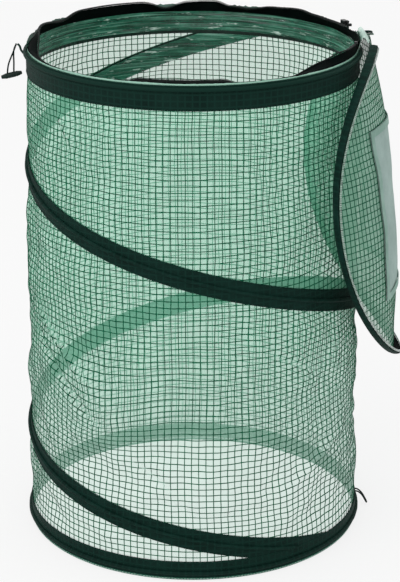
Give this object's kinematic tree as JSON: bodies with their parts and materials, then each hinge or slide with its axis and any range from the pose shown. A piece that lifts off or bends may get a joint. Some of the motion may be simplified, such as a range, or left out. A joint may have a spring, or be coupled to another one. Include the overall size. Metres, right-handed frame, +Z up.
{
  "type": "mini greenhouse",
  "caption": "Pop-up mini greenhouse: a cylinder of reinforced film held open by a spring steel helix, open at the foot, with a zip-round vented film lid that hangs open outside.",
  "frame": {"origin": "on the floor, under the middle of the house and its hanging lid; the house's own axis stands at x = -0.02615, y = 0", "axes": "+Z up along the house's axis, +X to the side where the lid hangs, +Y away from the viewer of the front"},
  "size_m": [0.5545, 0.4804, 0.7067],
  "materials": {
    "reinforced_film": "thin mint film with a dark green square mesh moulded in, slightly creased",
    "dark_tape": "woven dark green tape with a slight sheen",
    "zip_tape": "black woven zip tape",
    "zip_coil": "pale moulded coil",
    "slider_metal": "black lacquer, worn at the edges",
    "spring_steel": "drawn spring steel wire",
    "vent_net": "fine pale grey net",
    "cord": "braided dark green cord",
    "toggle_plastic": "moulded dark green plastic, satin"
  },
  "bodies": {
    "base": {"bottom_hem_tape": "dark_tape", "bottom_band": "dark_tape", "bottom_hoop_wire": "spring_steel", "bottom_hoop_ferrule": "spring_steel", "wall_sheet": "reinforced_film", "wall_seam_strip": "reinforced_film", "helix_band": "dark_tape", "helix_wire": "spring_steel", "helix_wire_upper_ferrule": "spring_steel", "helix_wire_lower_ferrule": "spring_steel", "base_loop": "cord"},
    "top_ring": {"top_band": "dark_tape", "top_hoop_wire": "spring_steel", "top_hoop_ferrule": "spring_steel", "body_zip_tape": "zip_tape", "body_zip_coil": "zip_coil", "zip_start_stop": "slider_metal", "zip_end_stop": "slider_metal", "lid_hinge_strip": "reinforced_film", "toggle_tab": "cord"},
    "lid": {"lid_sheet": "reinforced_film", "lid_edge_band": "dark_tape", "lid_zip_tape": "zip_tape", "lid_zip_coil": "zip_coil", "lid_vent_net": "vent_net", "lid_vent_hem": "dark_tape"},
    "zip_slider": {"zip_slider": "slider_metal"},
    "zip_pull": {"zip_pull": "slider_metal"},
    "toggle": {"toggle_cord_inner": "cord", "toggle_cord_outer": "cord", "toggle_bar": "toggle_plastic"}
  },
  "joints": [
    {"name": "collapse", "type": "slide", "parent": "base", "child": "top_ring", "axis": [0, 0, -1], "range_m": [0, 0.6], "stiffness_N_per_m": 15, "springref_m": -0.3, "deforming": ["wall_sheet", "wall_seam_strip", "helix_band", "helix_wire", "helix_wire_upper_ferrule", "helix_wire_lower_ferrule"]},
    {"name": "lid_hinge", "type": "hinge", "parent": "top_ring", "child": "lid", "pos_m": [0.21251, 0, 0.71669], "axis": [0, -1, 0], "range_deg": [0, 264.7], "deforming": ["lid_hinge_strip"]},
    {"name": "zip_travel", "type": "hinge", "parent": "top_ring", "child": "zip_slider", "pos_m": [-0.02615, 0, 0.7034], "axis": [0, 0, 1], "range_deg": [0, 320]},
    {"name": "pull_swing", "type": "hinge", "parent": "zip_slider", "child": "zip_pull", "pos_m": [0.18863, 0.07817, 0.7034], "axis": [0.342, -0.9397, 0], "range_deg": [0, 100]},
    {"name": "toggle_swing", "type": "hinge", "parent": "top_ring", "child": "toggle", "pos_m": [-0.26615, 0, 0.69], "axis": [0, 1, 0], "range_deg": [0, 120]}
  ]
}
